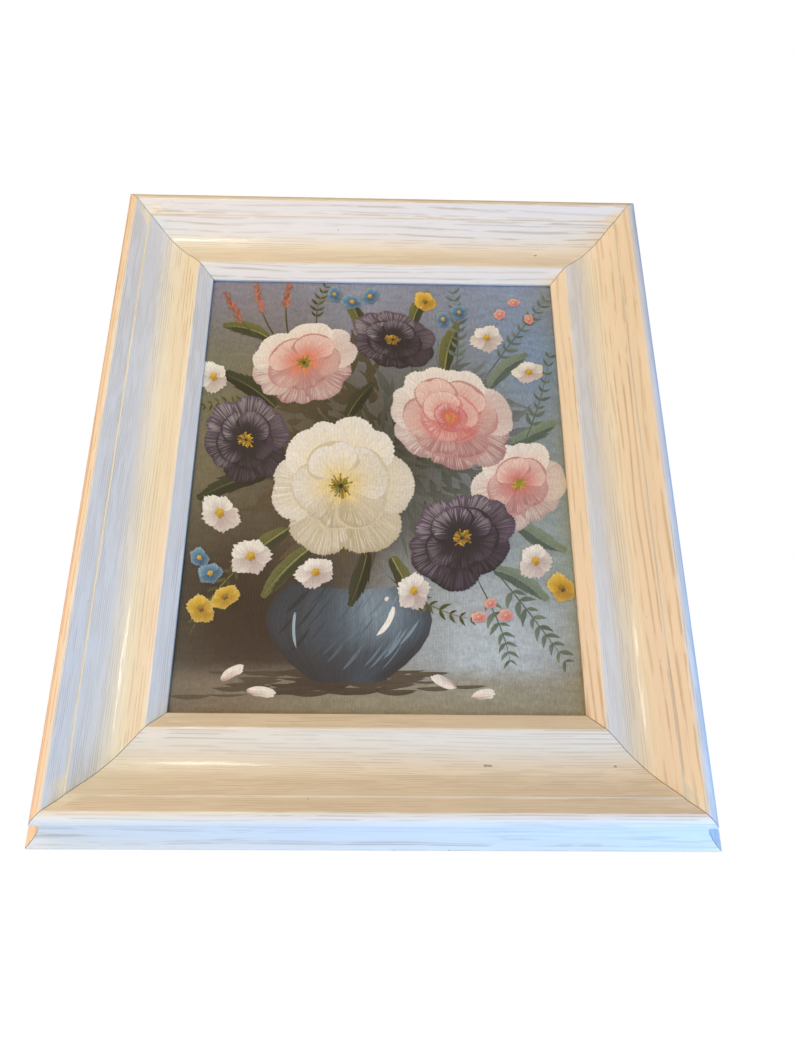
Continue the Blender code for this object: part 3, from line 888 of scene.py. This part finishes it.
class Bloom:
    """An open flower seen at a slant, painted ring after ring of petals."""

    def __init__(self, brush, centre, radius, lean=0.0, slant=1.0):
        self.brush = brush
        self.centre = Vector(centre)
        self.radius = radius
        self.lean = lean
        self.slant = slant

    def spot(self, angle, share):
        """A place on the flower, squashed along the way that it leans."""
        offset = turned(angle - self.lean, self.radius * share)
        offset.x *= self.slant
        return self.centre + turned(self.lean, offset.x) + turned(self.lean + math.pi / 2, offset.y)

    def light(self, angle):
        """How much light the side of the flower at this angle takes."""
        return 0.5 + 0.5 * math.cos(angle - LIGHT_ANGLE)

    def petal(self, angle, spread, root, reach, colours, strokes=22):
        """A fan of strokes from the petal's root to its rim, with fine hairs of paint over it."""
        rnd = self.brush.random
        deep, middle, rim, shadow = colours
        wave, notch, dent = rnd.uniform(0.0, FULL_TURN), rnd.uniform(-0.4, 0.4), rnd.uniform(0.01, 0.08)
        lit = self.light(angle)
        width = 2.6 * self.radius * reach * spread / strokes

        def rim_share(across):
            ripple = 0.03 * math.sin(2.6 * across + wave)
            fold = dent * math.exp(-(((across - notch) / 0.18) ** 2))
            return reach * (petal_shoulder(across) + ripple - fold)

        def fan(across, share, near=0.62):
            """A place on the petal: across it, and a share of the way from its root to its rim."""
            open_out = near + (1.0 - near) * share
            way = angle + across * spread / 2 * open_out
            return self.spot(way, root + (rim_share(across) - root) * share)

        def lay(across, start, end, width, stops, **feel):
            """A stroke along the petal, from one share of the way to another."""
            middle_place = fan(across, (start + end) / 2)
            self.brush.stroke(fan(across, start), middle_place, fan(across, end), width, stops, **feel)

        shares = [(index + 0.5) / strokes * 2.0 - 1.0 for index in range(strokes)]
        for across in sorted(shares, key=lambda share: -abs(share)):
            tone = lit + 0.55 * (self.light(angle + across * spread / 2 + 0.9) - 0.5)
            tone += 0.16 * math.sin(3.1 * across + wave) + rnd.uniform(-0.03, 0.03)
            edge = mixed(shadow, rim, share_of(0.15 + 0.9 * tone))
            body = mixed(shadow, middle, share_of(0.35 + 0.75 * tone))
            stops = [deep, mixed(deep, body, 0.6), body, mixed(body, edge, 0.6), edge]
            lay(across, 0.0, 1.0, width, stops, ragged=0.012, taper=(0.9, 0.3), shade=0.015)
        for _ in range(strokes * 2):
            across = rnd.uniform(-0.92, 0.92)
            start, end = rnd.uniform(0.45, 0.8), rnd.uniform(0.9, 1.01)
            pale = mixed(shadow, mixed(rim, PAINTS["white"], 0.3 * lit), 0.35 + 0.65 * lit)
            stops = [pale, mixed(middle, pale, 0.6)]
            lay(across, end, start, width * rnd.uniform(0.06, 0.16), stops, ragged=0.1, taper=(0.3, 0.95))
        for _ in range(strokes):
            across, end = rnd.uniform(-0.8, 0.8), rnd.uniform(0.25, 0.6)
            stops = [mixed(deep, shadow, 0.3), mixed(deep, middle, 0.25), mixed(deep, middle, 0.75)]
            lay(across, 0.0, end, width * rnd.uniform(0.06, 0.18), stops, ragged=0.1, taper=(0.5, 0.95))

    def ring(self, petals, root, reach, colours, turn=0.0, spread=1.3, strokes=22):
        """A ring of overlapping petals, those in the shade first."""
        rnd = self.brush.random
        step = 2 * math.pi / petals
        angles = [turn + index * step + rnd.uniform(-0.12, 0.12) for index in range(petals)]
        for angle in sorted(angles, key=lambda one: self.light(one + 0.4)):
            width = step * spread * rnd.uniform(0.92, 1.08)
            length = reach * rnd.uniform(0.93, 1.05)
            if reach < 0.9:
                self.contact_shade(angle, width, length * 1.03, mixed(colours[3], colours[1], 0.5))
            self.petal(angle, width, root, length, colours, strokes)

    def contact_shade(self, angle, spread, reach, colour):
        """The soft shade that an inner petal drops on the petals under it."""
        for index in range(SHADE_STROKES):
            across = index * 2.0 / (SHADE_STROKES - 1) - 1.0
            way = angle + across * spread / 2
            end = reach * petal_shoulder(across)
            places = [self.spot(way, end * share) for share in (0.5, 0.8, 1.0)]
            width = self.radius * reach * spread * 0.16
            self.brush.stroke(*places, width, [colour] * 2, ragged=0.02, taper=(0.5, 0.5), shade=0.02)

    def heart(self, size, dark, colours, dots=26):
        """Stamens round a dark middle."""
        rnd = self.brush.random
        for _ in range(HEART_DABS):
            angle = rnd.uniform(0.0, FULL_TURN)
            place = self.spot(angle, size * rnd.uniform(0.0, 0.45))
            self.brush.dab(place, self.radius * size * 0.7, dark, angle)
        for index in range(dots):
            angle = index * GOLDEN_TURN
            reach = size * rnd.uniform(0.55, 1.1)
            colour = rnd.choice(colours)
            root, bend = self.spot(angle, size * 0.2), self.spot(angle + 0.1, reach * 0.6)
            stops = [mixed(dark, colour, 0.4), colour]
            self.brush.stroke(root, bend, self.spot(angle, reach), self.radius * size * 0.12, stops)
            width = self.radius * size * rnd.uniform(0.16, 0.28)
            self.brush.dab(self.spot(angle, reach), width, colour, angle)


def paint_leaf(brush, base, tip, width, colours, bend=0.15, strokes=13):
    """A pointed leaf: a dark half, a light half and its midrib."""
    rnd = brush.random
    base, tip = Vector(base), Vector(tip)
    axis = tip - base
    side = Vector((-axis.y, axis.x)).normalized()
    middle = (base + tip) / 2 + side * axis.length * bend
    dark, light, vein = colours

    def rib(share):
        return along_curve(base, middle, tip, share)

    upper = 1.0 if side.dot(turned(LIGHT_ANGLE)) > 0 else -1.0
    for half, colour in ((-upper, dark), (upper, light)):
        for index in range(strokes):
            share = (index + 0.2) / strokes
            edge = width * 0.5 * math.sin(math.pi * min(1.0, share + 0.22)) ** 0.8 * rnd.uniform(0.85, 1.1)
            over = rib(min(1.0, share + 0.12)) + side * half * edge * 0.65
            out = rib(min(1.0, share + 0.26)) + side * half * edge
            stops = [mixed(colour, dark, 0.4), colour, mixed(colour, light, 0.4)]
            thick = axis.length / strokes * 1.5
            brush.stroke(rib(share), over, out, thick, stops, ragged=0.05, taper=(0.3, 0.95))
    brush.stroke(base, middle, tip, width * 0.07, [vein, mixed(vein, light, 0.5)], taper=(0.1, 0.9))


def paint_sprig(brush, base, bend, tip, leaves, size, colours):
    """A thin stem with small leaves, two by two."""
    rnd = brush.random
    base, bend, tip = Vector(base), Vector(bend), Vector(tip)
    dark, light, vein = colours
    brush.stroke(base, bend, tip, 0.7, [dark, vein], taper=(0.05, 0.5))
    for index in range(leaves):
        share = 0.25 + 0.75 * index / max(1, leaves - 1)
        spot = along_curve(base, bend, tip, share)
        slope = slope_of_curve(base, bend, tip, share)
        way = math.atan2(slope.y, slope.x)
        for side in (-1, 1):
            angle = way + side * rnd.uniform(0.6, 1.0)
            reach = size * rnd.uniform(0.7, 1.15) * (1.0 - 0.35 * share)
            colour = mixed(dark, light, rnd.uniform(0.1, 1.0))
            over, out = spot + turned(angle + side * 0.3, reach * 0.5), spot + turned(angle, reach)
            stops = [mixed(dark, colour, 0.4), colour]
            brush.stroke(spot, over, out, reach * 0.34, stops, taper=(0.5, 0.8))


def paint_small_flower(brush, centre, radius, colours, heart, turn, slant):
    """A small open blossom with round petals and a round heart."""
    rnd = brush.random
    shade, colour, pale = colours
    bloom = Bloom(brush, centre, radius, lean=turn, slant=slant)
    angles = [turn + index * 2 * math.pi / BLOSSOM_PETALS for index in range(BLOSSOM_PETALS)]
    for angle in sorted(angles, key=bloom.light):
        angle += rnd.uniform(-0.15, 0.15)
        reach = rnd.uniform(0.88, 1.08)
        lit = bloom.light(angle)
        body = mixed(shade, colour, 0.25 + 0.75 * lit)
        for across in (-0.34, 0.34, -0.17, 0.17, 0.0):
            brush.stroke(
                bloom.spot(angle, 0.12),
                bloom.spot(angle + across * 1.9, reach * 0.62),
                bloom.spot(angle + across * 1.25, reach * (1.0 - abs(across) * 0.4)),
                radius * 1.5 / BLOSSOM_PETALS,
                [mixed(shade, body, 0.3), body, mixed(body, pale, 0.35 + 0.5 * lit)],
                taper=(0.7, 0.4),
            )
    dark, light = heart
    for index in range(7):
        angle = index * GOLDEN_TURN
        tone = mixed(dark, light, 0.2 + 0.8 * bloom.light(angle))
        brush.dab(bloom.spot(angle, 0.12 if index else 0.0), radius * 0.24, tone, angle)


class PAINTING_OT_canvas(bpy.types.Operator):
    """Give the canvas panel its primed and painted ground"""

    bl_idname = "painting.canvas"
    bl_label = "Canvas"

    def execute(self, context):
        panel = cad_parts["canvas_panel"]
        panel.data.materials.clear()
        panel.data.materials.append(painted_ground())
        return {"FINISHED"}


def bowl_reach(share):
    """Half the bowl's width at a share of the way down from its rim."""
    return along_curve(BOWL_RIM_REACH, BOWL_BELLY_REACH, BOWL_FOOT_REACH, share)


class PAINTING_OT_bowl(bpy.types.Operator):
    """Paint the glazed bowl, its shadow on the table and the fallen petals"""

    bl_idname = "painting.bowl"
    bl_label = "Bowl"

    def execute(self, context):
        brush = Brush(11, BOWL_HEIGHT)
        rnd = brush.random
        middle, foot, rim = BOWL_MIDDLE, BOWL_FOOT, BOWL_RIM
        for _ in range(SHADOW_STROKES):
            x = middle + rnd.gauss(-12.0, 24.0)
            y = foot + rnd.uniform(-8.0, 4.0) - 0.04 * abs(x - middle)
            fade = min(1.0, abs(x - middle + 12.0) / 60.0 + rnd.uniform(0.0, 0.25))
            dark = mixed(PAINTS["umber"], PAINTS["table_shade"], fade)
            width = rnd.uniform(2, 5)
            brush.stroke((x - 9, y), (x, y - 1), (x + 9, y + 0.5), width, [dark] * 2, taper=(0.9, 0.9))
        for index in range(BOWL_STROKES):
            side = (index + 0.5) / BOWL_STROKES * 2.0 - 1.0
            bulge = math.sqrt(1.0 - side * side)
            shine = math.exp(-(((side - 0.38) / 0.34) ** 2))
            lit = share_of(0.5 + 0.75 * side)
            glaze = mixed(PAINTS["bowl_dark"], PAINTS["bowl_blue"], (0.2 + 0.8 * bulge) * (0.3 + 0.7 * lit))
            upper = (0.1 * lit + 0.3 * shine, 0.55 * shine, 0.25 * shine)
            stops = [mixed(glaze, PAINTS["bowl_light"], share) for share in upper]
            stops += [mixed(PAINTS["bowl_dark"], glaze, share) for share in (0.35, 0.15 + 0.3 * shine)]
            places = (
                (middle + side * BOWL_RIM_REACH, rim - 3.5 * bulge),
                (middle + side * BOWL_BELLY_REACH, (rim + foot) / 2 + 3.0 - 4.0 * bulge),
                (middle + side * BOWL_FOOT_REACH, foot - 3.0 * bulge),
            )
            brush.stroke(*places, 3.0, stops, ragged=0.004, taper=(0.08, 0.08), shade=0.10)
        for _ in range(GLAZE_STROKES):
            side, share = rnd.uniform(-0.75, 0.85), rnd.uniform(0.1, 0.8)
            x, y = middle + side * bowl_reach(share), rim + (foot - rim) * share
            tone = mixed(PAINTS["bowl_blue"], PAINTS["bowl_light"], rnd.random() * (0.25 + 0.4 * side))
            tone = mixed(tone, PAINTS["bowl_dark"], share_of(0.35 - side))
            width = rnd.uniform(1.0, 3.0)
            brush.stroke((x - 5, y - 6), (x, y - 1), (x + 4, y + 6), width, [tone] * 2, taper=(0.9, 0.9))
        for shine, width, tone in BOWL_SHINES:
            brush.stroke(*((middle + x, rim + y) for x, y in shine), width, [PAINTS[tone]] * 2)
        for spot, turn, reach in FALLEN_PETALS:
            spot = Vector(spot)
            for side, width, tone in FALLEN_PETAL_STROKES:
                shifted = spot + turned(turn + math.pi / 2, side)
                bend = shifted + turned(turn + 0.35, reach * 0.55)
                stops = [PAINTS[tone], PAINTS["white"]]
                brush.stroke(shifted, bend, shifted + turned(turn, reach), width, stops)
        brush.finish("painted_bowl", oil_paint("paint_of_bowl"))
        return {"FINISHED"}


class PAINTING_OT_foliage(bpy.types.Operator):
    """Paint the dark leaf mass, the leaves, the sprigs and the tall plumes"""

    bl_idname = "painting.foliage"
    bl_label = "Foliage"

    def execute(self, context):
        brush = Brush(23, FOLIAGE_HEIGHT)
        rnd = brush.random
        for _ in range(LEAF_MASS_STROKES):
            angle = rnd.uniform(0.0, FULL_TURN)
            reach = rnd.random() ** 0.6
            x = LEAF_MASS_MIDDLE[0] + math.cos(angle) * LEAF_MASS_REACH[0] * reach
            y = LEAF_MASS_MIDDLE[1] + math.sin(angle) * LEAF_MASS_REACH[1] * reach
            tone = mixed(PAINTS["deep_green"], PAINTS["umber"], rnd.random() * (0.9 if x < 0 else 0.3))
            veil = PAINTS["veil_left"] if x < 0 else PAINTS["veil_right"]
            tone = mixed(tone, veil, min(1.0, reach ** 2 * rnd.uniform(0.6, 1.1)))
            way = angle + rnd.uniform(-0.7, 0.7)
            out = Vector((x, y)) + turned(way, rnd.uniform(8.0, 18.0))
            bend = Vector((x, y)) + turned(way + rnd.uniform(-0.5, 0.5), 6.0)
            stops = [tone, mixed(tone, veil, 0.35)]
            brush.stroke((x, y), bend, out, rnd.uniform(2.5, 6.5), stops, taper=(0.6, 0.9))
        for base, tip, width, tone in LEAVES:
            paint_leaf(brush, base, tip, width, LEAF_COLOURS[tone], bend=rnd.uniform(-0.18, 0.18))
        for base, bend, tip, leaves, size, tone in SPRIGS:
            paint_sprig(brush, base, bend, tip, leaves, size, LEAF_COLOURS[tone])
        for base, bend, tip in PLUMES:
            base, bend, tip = Vector(base), Vector(bend), Vector(tip)
            brush.stroke(base, bend, tip, 0.8, [PAINTS["deep_green"], PAINTS["olive"]], taper=(0.1, 0.6))
            for index in range(PLUME_STROKES):
                share = 0.5 + 0.5 * index / (PLUME_STROKES - 1)
                spot = along_curve(base, bend, tip, share)
                slope = slope_of_curve(base, bend, tip, share)
                way = math.atan2(slope.y, slope.x) + rnd.uniform(-0.75, 0.75)
                tone = mixed(PAINTS["plume_dark"], PAINTS["plume_light"], rnd.random())
                reach = rnd.uniform(3.0, 6.0) * (1.25 - share * 0.6)
                brush.stroke(spot, spot + turned(way, reach / 2), spot + turned(way, reach), 1.1, [tone] * 2)
        brush.finish("painted_foliage", oil_paint("paint_of_foliage"))
        return {"FINISHED"}


class PAINTING_OT_blooms(bpy.types.Operator):
    """Paint the large blooms, the far ones first"""

    bl_idname = "painting.blooms"
    bl_label = "Large blooms"

    def execute(self, context):
        for order, (name, values) in enumerate(BLOOMS.items()):
            brush = Brush(41 + order, values["height"])
            bloom = Bloom(brush, values["centre"], values["radius"], values["lean"], values["slant"])
            for petals, root, reach, colours, turn in values["rings"]:
                bloom.ring(petals, root, reach, [PAINTS[colour] for colour in colours], turn)
            size, dark, tones = values["heart"]
            bloom.heart(size, PAINTS[dark], [PAINTS[tone] for tone in tones])
            brush.finish("painted_" + name, oil_paint("paint_of_" + name))
        return {"FINISHED"}


class PAINTING_OT_small_blossoms(bpy.types.Operator):
    """Paint the small white, blue, yellow and pink blossoms"""

    bl_idname = "painting.small_blossoms"
    bl_label = "Small blossoms"

    def execute(self, context):
        brush = Brush(67, SMALL_BLOOMS)
        rnd = brush.random
        for kind, places in SMALL_BLOSSOMS.items():
            radius, colours, heart = BLOSSOM_KINDS[kind]
            for place in places:
                paint_small_flower(
                    brush,
                    place,
                    radius * rnd.uniform(0.88, 1.12),
                    [PAINTS[colour] for colour in colours],
                    [PAINTS[colour] for colour in heart],
                    turn=rnd.uniform(0.0, FULL_TURN),
                    slant=rnd.uniform(0.7, 0.95),
                )
        brush.finish("painted_small_blossoms", oil_paint("paint_of_small_blossoms"))
        return {"FINISHED"}


class PAINTING_OT_hardware(bpy.types.Operator):
    """Give the hanger, its nails and the retaining points their plated steel"""

    bl_idname = "painting.hardware"
    bl_label = "Hardware"

    def execute(self, context):
        steel = plated_steel()
        for name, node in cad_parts.items():
            if name.startswith(("hanger", "retaining")):
                node.data.materials.clear()
                node.data.materials.append(steel)
        return {"FINISHED"}


# Soft lights: offset from the middle of the picture, size, power in watts and colour
SOFT_LIGHTS = {
    "blue_low_right": ((0.70, -0.10, -0.70), 0.7, 11.50, (0.06, 0.38, 1.00)),
    "yellow_level_left": ((-0.62, -0.79, 0.00), 0.5, 1.85, (1.00, 0.95, 0.36)),
    "blue_low_right_far": ((0.61, -0.50, -0.61), 0.7, 3.00, (0.66, 0.88, 1.00)),
    "red_level_left": ((-0.99, -0.10, 0.00), 0.7, 3.00, (1.00, 0.22, 0.08)),
    "yellow_high": ((0.00, -0.79, 0.62), 0.5, 1.27, (1.00, 0.88, 0.36)),
    "yellow_low_left": ((-0.70, -0.10, -0.70), 0.7, 0.90, (1.00, 0.86, 0.00)),
    "orange_high_left": ((-0.44, -0.79, 0.44), 0.5, 1.85, (1.00, 0.77, 0.36)),
    "orange_high_right": ((0.44, -0.79, 0.44), 0.5, 1.19, (1.00, 0.34, 0.00)),
    "white_low_left": ((-0.61, -0.50, -0.61), 0.7, 2.15, (0.93, 1.00, 0.98)),
    "blue_level_right": ((0.87, -0.50, 0.00), 0.7, 1.79, (0.12, 0.40, 1.00)),
    "red_level_left_far": ((-0.87, -0.50, 0.00), 0.7, 1.30, (1.00, 0.00, 0.00)),
    "window": ((-0.30, -1.15, 0.18), 0.2, 3.00, (1.00, 0.91, 0.74)),
}

# Lights that show the back and the floor in other views, the last one turned down to the floor
SIDE_LIGHTS = {
    "behind": ((0.0, 0.95, 0.3), 0.6, 6.0, (1.0, 0.98, 0.95)),
    "floor": ((0.0, 0.0, -0.26), 3.2, 18.0, (1.0, 1.0, 1.0), (0.0, 0.0, -1.0)),
}

# The camera: its height is from the middle of the opening, and its turns are in degrees
CAMERA_PLACE = (0.00035, -0.40444, -0.19813)
CAMERA_TURNS = (113.154, -0.15, -1.27)
FLOOR_COLOUR = (0.86, 0.86, 0.87, 1.0)


def add_camera():
    """The photograph's view: in front, low and looking up at the picture."""
    look = bpy.context.scene.stage_look
    data = bpy.data.cameras.new("photo_camera")
    data.lens = look.camera_lens
    data.sensor_width = 36.0
    camera = bpy.data.objects.new("photo_camera", data)
    camera.location = (CAMERA_PLACE[0], CAMERA_PLACE[1], CENTRE.z + CAMERA_PLACE[2])
    camera.rotation_euler = Euler([math.radians(turn) for turn in CAMERA_TURNS])
    bpy.context.scene.collection.objects.link(camera)
    bpy.context.scene.camera = camera


def add_soft_light(name, offset, size, power, colour, turned_to=None):
    """A round soft light, set off from the middle of the picture and turned to it or to another way."""
    data = bpy.data.lights.new(name, "AREA")
    data.shape = "DISK"
    data.size = size
    data.energy = power
    data.color = colour
    light = bpy.data.objects.new(name, data)
    light.location = CENTRE + Vector(offset)
    away = -Vector(turned_to) if turned_to else Vector(offset)
    light.rotation_euler = away.to_track_quat("Z", "Y").to_euler()
    light.visible_camera = False
    bpy.context.scene.collection.objects.link(light)


def set_pale_surroundings():
    """A white surround that only the camera sees, so that the soft lights alone light the object."""
    world = bpy.data.worlds.new("pale_surroundings")
    world.use_nodes = True
    bpy.context.scene.world = world
    tree = world.node_tree
    white = tree.nodes["Background"]
    white.inputs["Color"].default_value = (1.0, 1.0, 1.0, 1.0)
    path = tree.nodes.new("ShaderNodeLightPath")
    tree.links.new(path.outputs["Is Camera Ray"], white.inputs["Strength"])


def add_floor():
    look = bpy.context.scene.stage_look
    bm = bmesh.new()
    height = CAD_LOW.z - look.floor_drop
    place = Matrix.Translation((0.0, 0.0, height))
    bmesh.ops.create_grid(bm, x_segments=1, y_segments=1, size=look.floor_size / 2, matrix=place)
    nodes = Nodes("pale_floor")
    nodes.set(base_color=FLOOR_COLOUR, roughness=0.6)
    floor = add_object("pale_floor", bm, [nodes.material])


class PAINTING_OT_stage(bpy.types.Operator):
    """Set the camera, the soft lights, the pale surroundings and the floor"""

    bl_idname = "painting.stage"
    bl_label = "Stage"

    def execute(self, context):
        add_camera()
        for name, values in (SOFT_LIGHTS | SIDE_LIGHTS).items():
            add_soft_light(name, *values)
        set_pale_surroundings()
        add_floor()
        context.scene.view_settings.view_transform = "Standard"
        return {"FINISHED"}


class PAINTING_PT_panel(bpy.types.Panel):
    """The pieces of the framed painting, in the order that they are built"""

    bl_idname = "PAINTING_PT_panel"
    bl_label = "Framed painting"
    bl_space_type = "VIEW_3D"
    bl_region_type = "UI"
    bl_category = "Framed painting"

    def draw(self, context):
        for operator in OPERATORS:
            self.layout.operator(operator.bl_idname)


LOOKS = {"moulding_look": MouldingLook, "painting_look": PaintingLook, "stage_look": StageLook}
OPERATORS = [
    PAINTING_OT_moulding,
    PAINTING_OT_canvas,
    PAINTING_OT_bowl,
    PAINTING_OT_foliage,
    PAINTING_OT_blooms,
    PAINTING_OT_small_blossoms,
    PAINTING_OT_hardware,
    PAINTING_OT_stage,
]
CLASSES = [*LOOKS.values(), *OPERATORS, PAINTING_PT_panel]


def register():
    for cls in CLASSES:
        bpy.utils.register_class(cls)
    for name, look in LOOKS.items():
        setattr(bpy.types.Scene, name, PointerProperty(type=look))


def unregister():
    for name in LOOKS:
        delattr(bpy.types.Scene, name)
    for cls in reversed(CLASSES):
        bpy.utils.unregister_class(cls)


def main():
    register()
    bpy.ops.painting.moulding()
    bpy.ops.painting.canvas()
    bpy.ops.painting.bowl()
    bpy.ops.painting.foliage()
    bpy.ops.painting.blooms()
    bpy.ops.painting.small_blossoms()
    bpy.ops.painting.hardware()
    bpy.ops.painting.stage()


if __name__ == "__main__":
    main()
